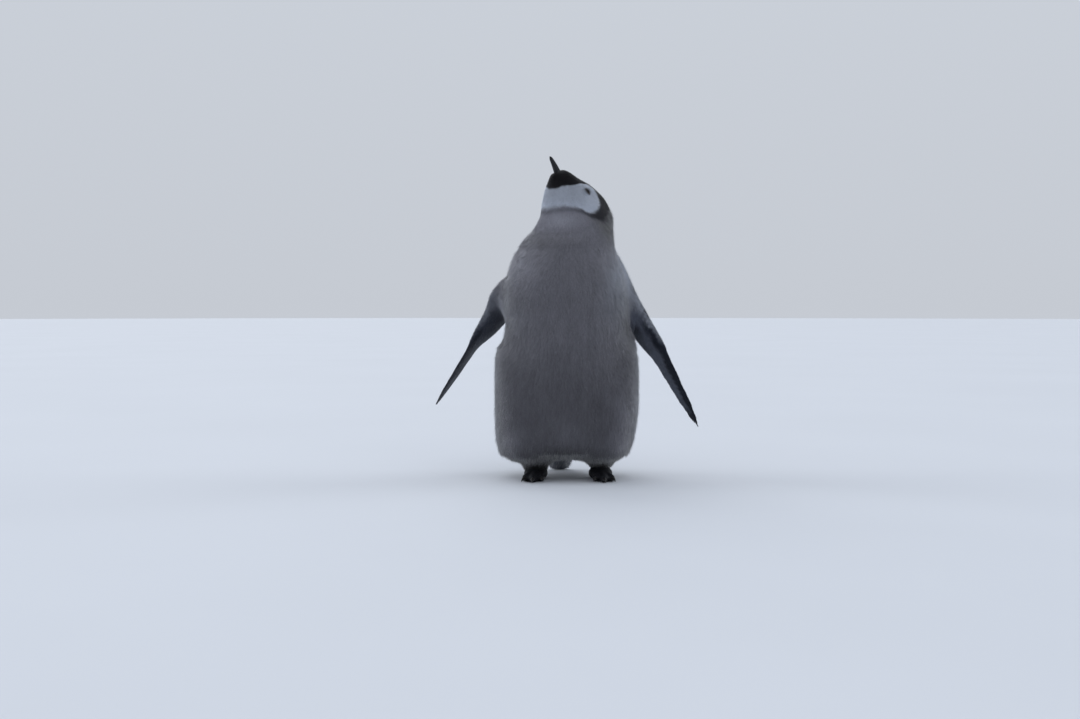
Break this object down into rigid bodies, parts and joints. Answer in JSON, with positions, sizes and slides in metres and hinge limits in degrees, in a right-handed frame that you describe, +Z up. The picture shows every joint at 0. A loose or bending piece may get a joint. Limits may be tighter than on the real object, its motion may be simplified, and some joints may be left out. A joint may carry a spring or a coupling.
{
  "type": "emperor penguin chick, standing life-size model",
  "caption": "Still life-size model of a downy emperor penguin chick, standing on its feet and short tail with both flippers held out and the head raised and turned to its right.",
  "frame": {"origin": "on the floor, under the middle of the whole outline seen from above, flippers included", "axes": "+Z up; the chick's breast faces -Y; +X is the chick's left"},
  "size_m": [0.481, 0.2457, 0.5714],
  "materials": {
    "grey_down": "soft silver-grey down, matte",
    "pale_down": "short white face down with black markings, matte",
    "slate_flipper": "very short stiff slate feathers, satin",
    "dark_horn": "smooth dark horn, satin",
    "claw_horn": "black horn, low gloss",
    "foot_skin": "black scaly skin",
    "eye": "wet dark brown eye"
  },
  "bodies": {
    "root": {"belly": "grey_down", "chest": "grey_down", "neck": "grey_down", "thigh_left": "grey_down", "thigh_right": "grey_down", "leg_left": "grey_down", "leg_right": "grey_down", "tail": "grey_down", "flipper_arm_left": "grey_down", "flipper_arm_right": "grey_down", "head": "pale_down", "flipper_blade_left": "slate_flipper", "flipper_blade_right": "slate_flipper", "bill_upper": "dark_horn", "bill_lower": "dark_horn", "claw_inner_left": "claw_horn", "claw_middle_left": "claw_horn", "claw_outer_left": "claw_horn", "claw_inner_right": "claw_horn", "claw_middle_right": "claw_horn", "claw_outer_right": "claw_horn", "foot_left": "foot_skin", "foot_right": "foot_skin", "eye_left": "eye", "eye_right": "eye"}
  },
  "joints": []
}
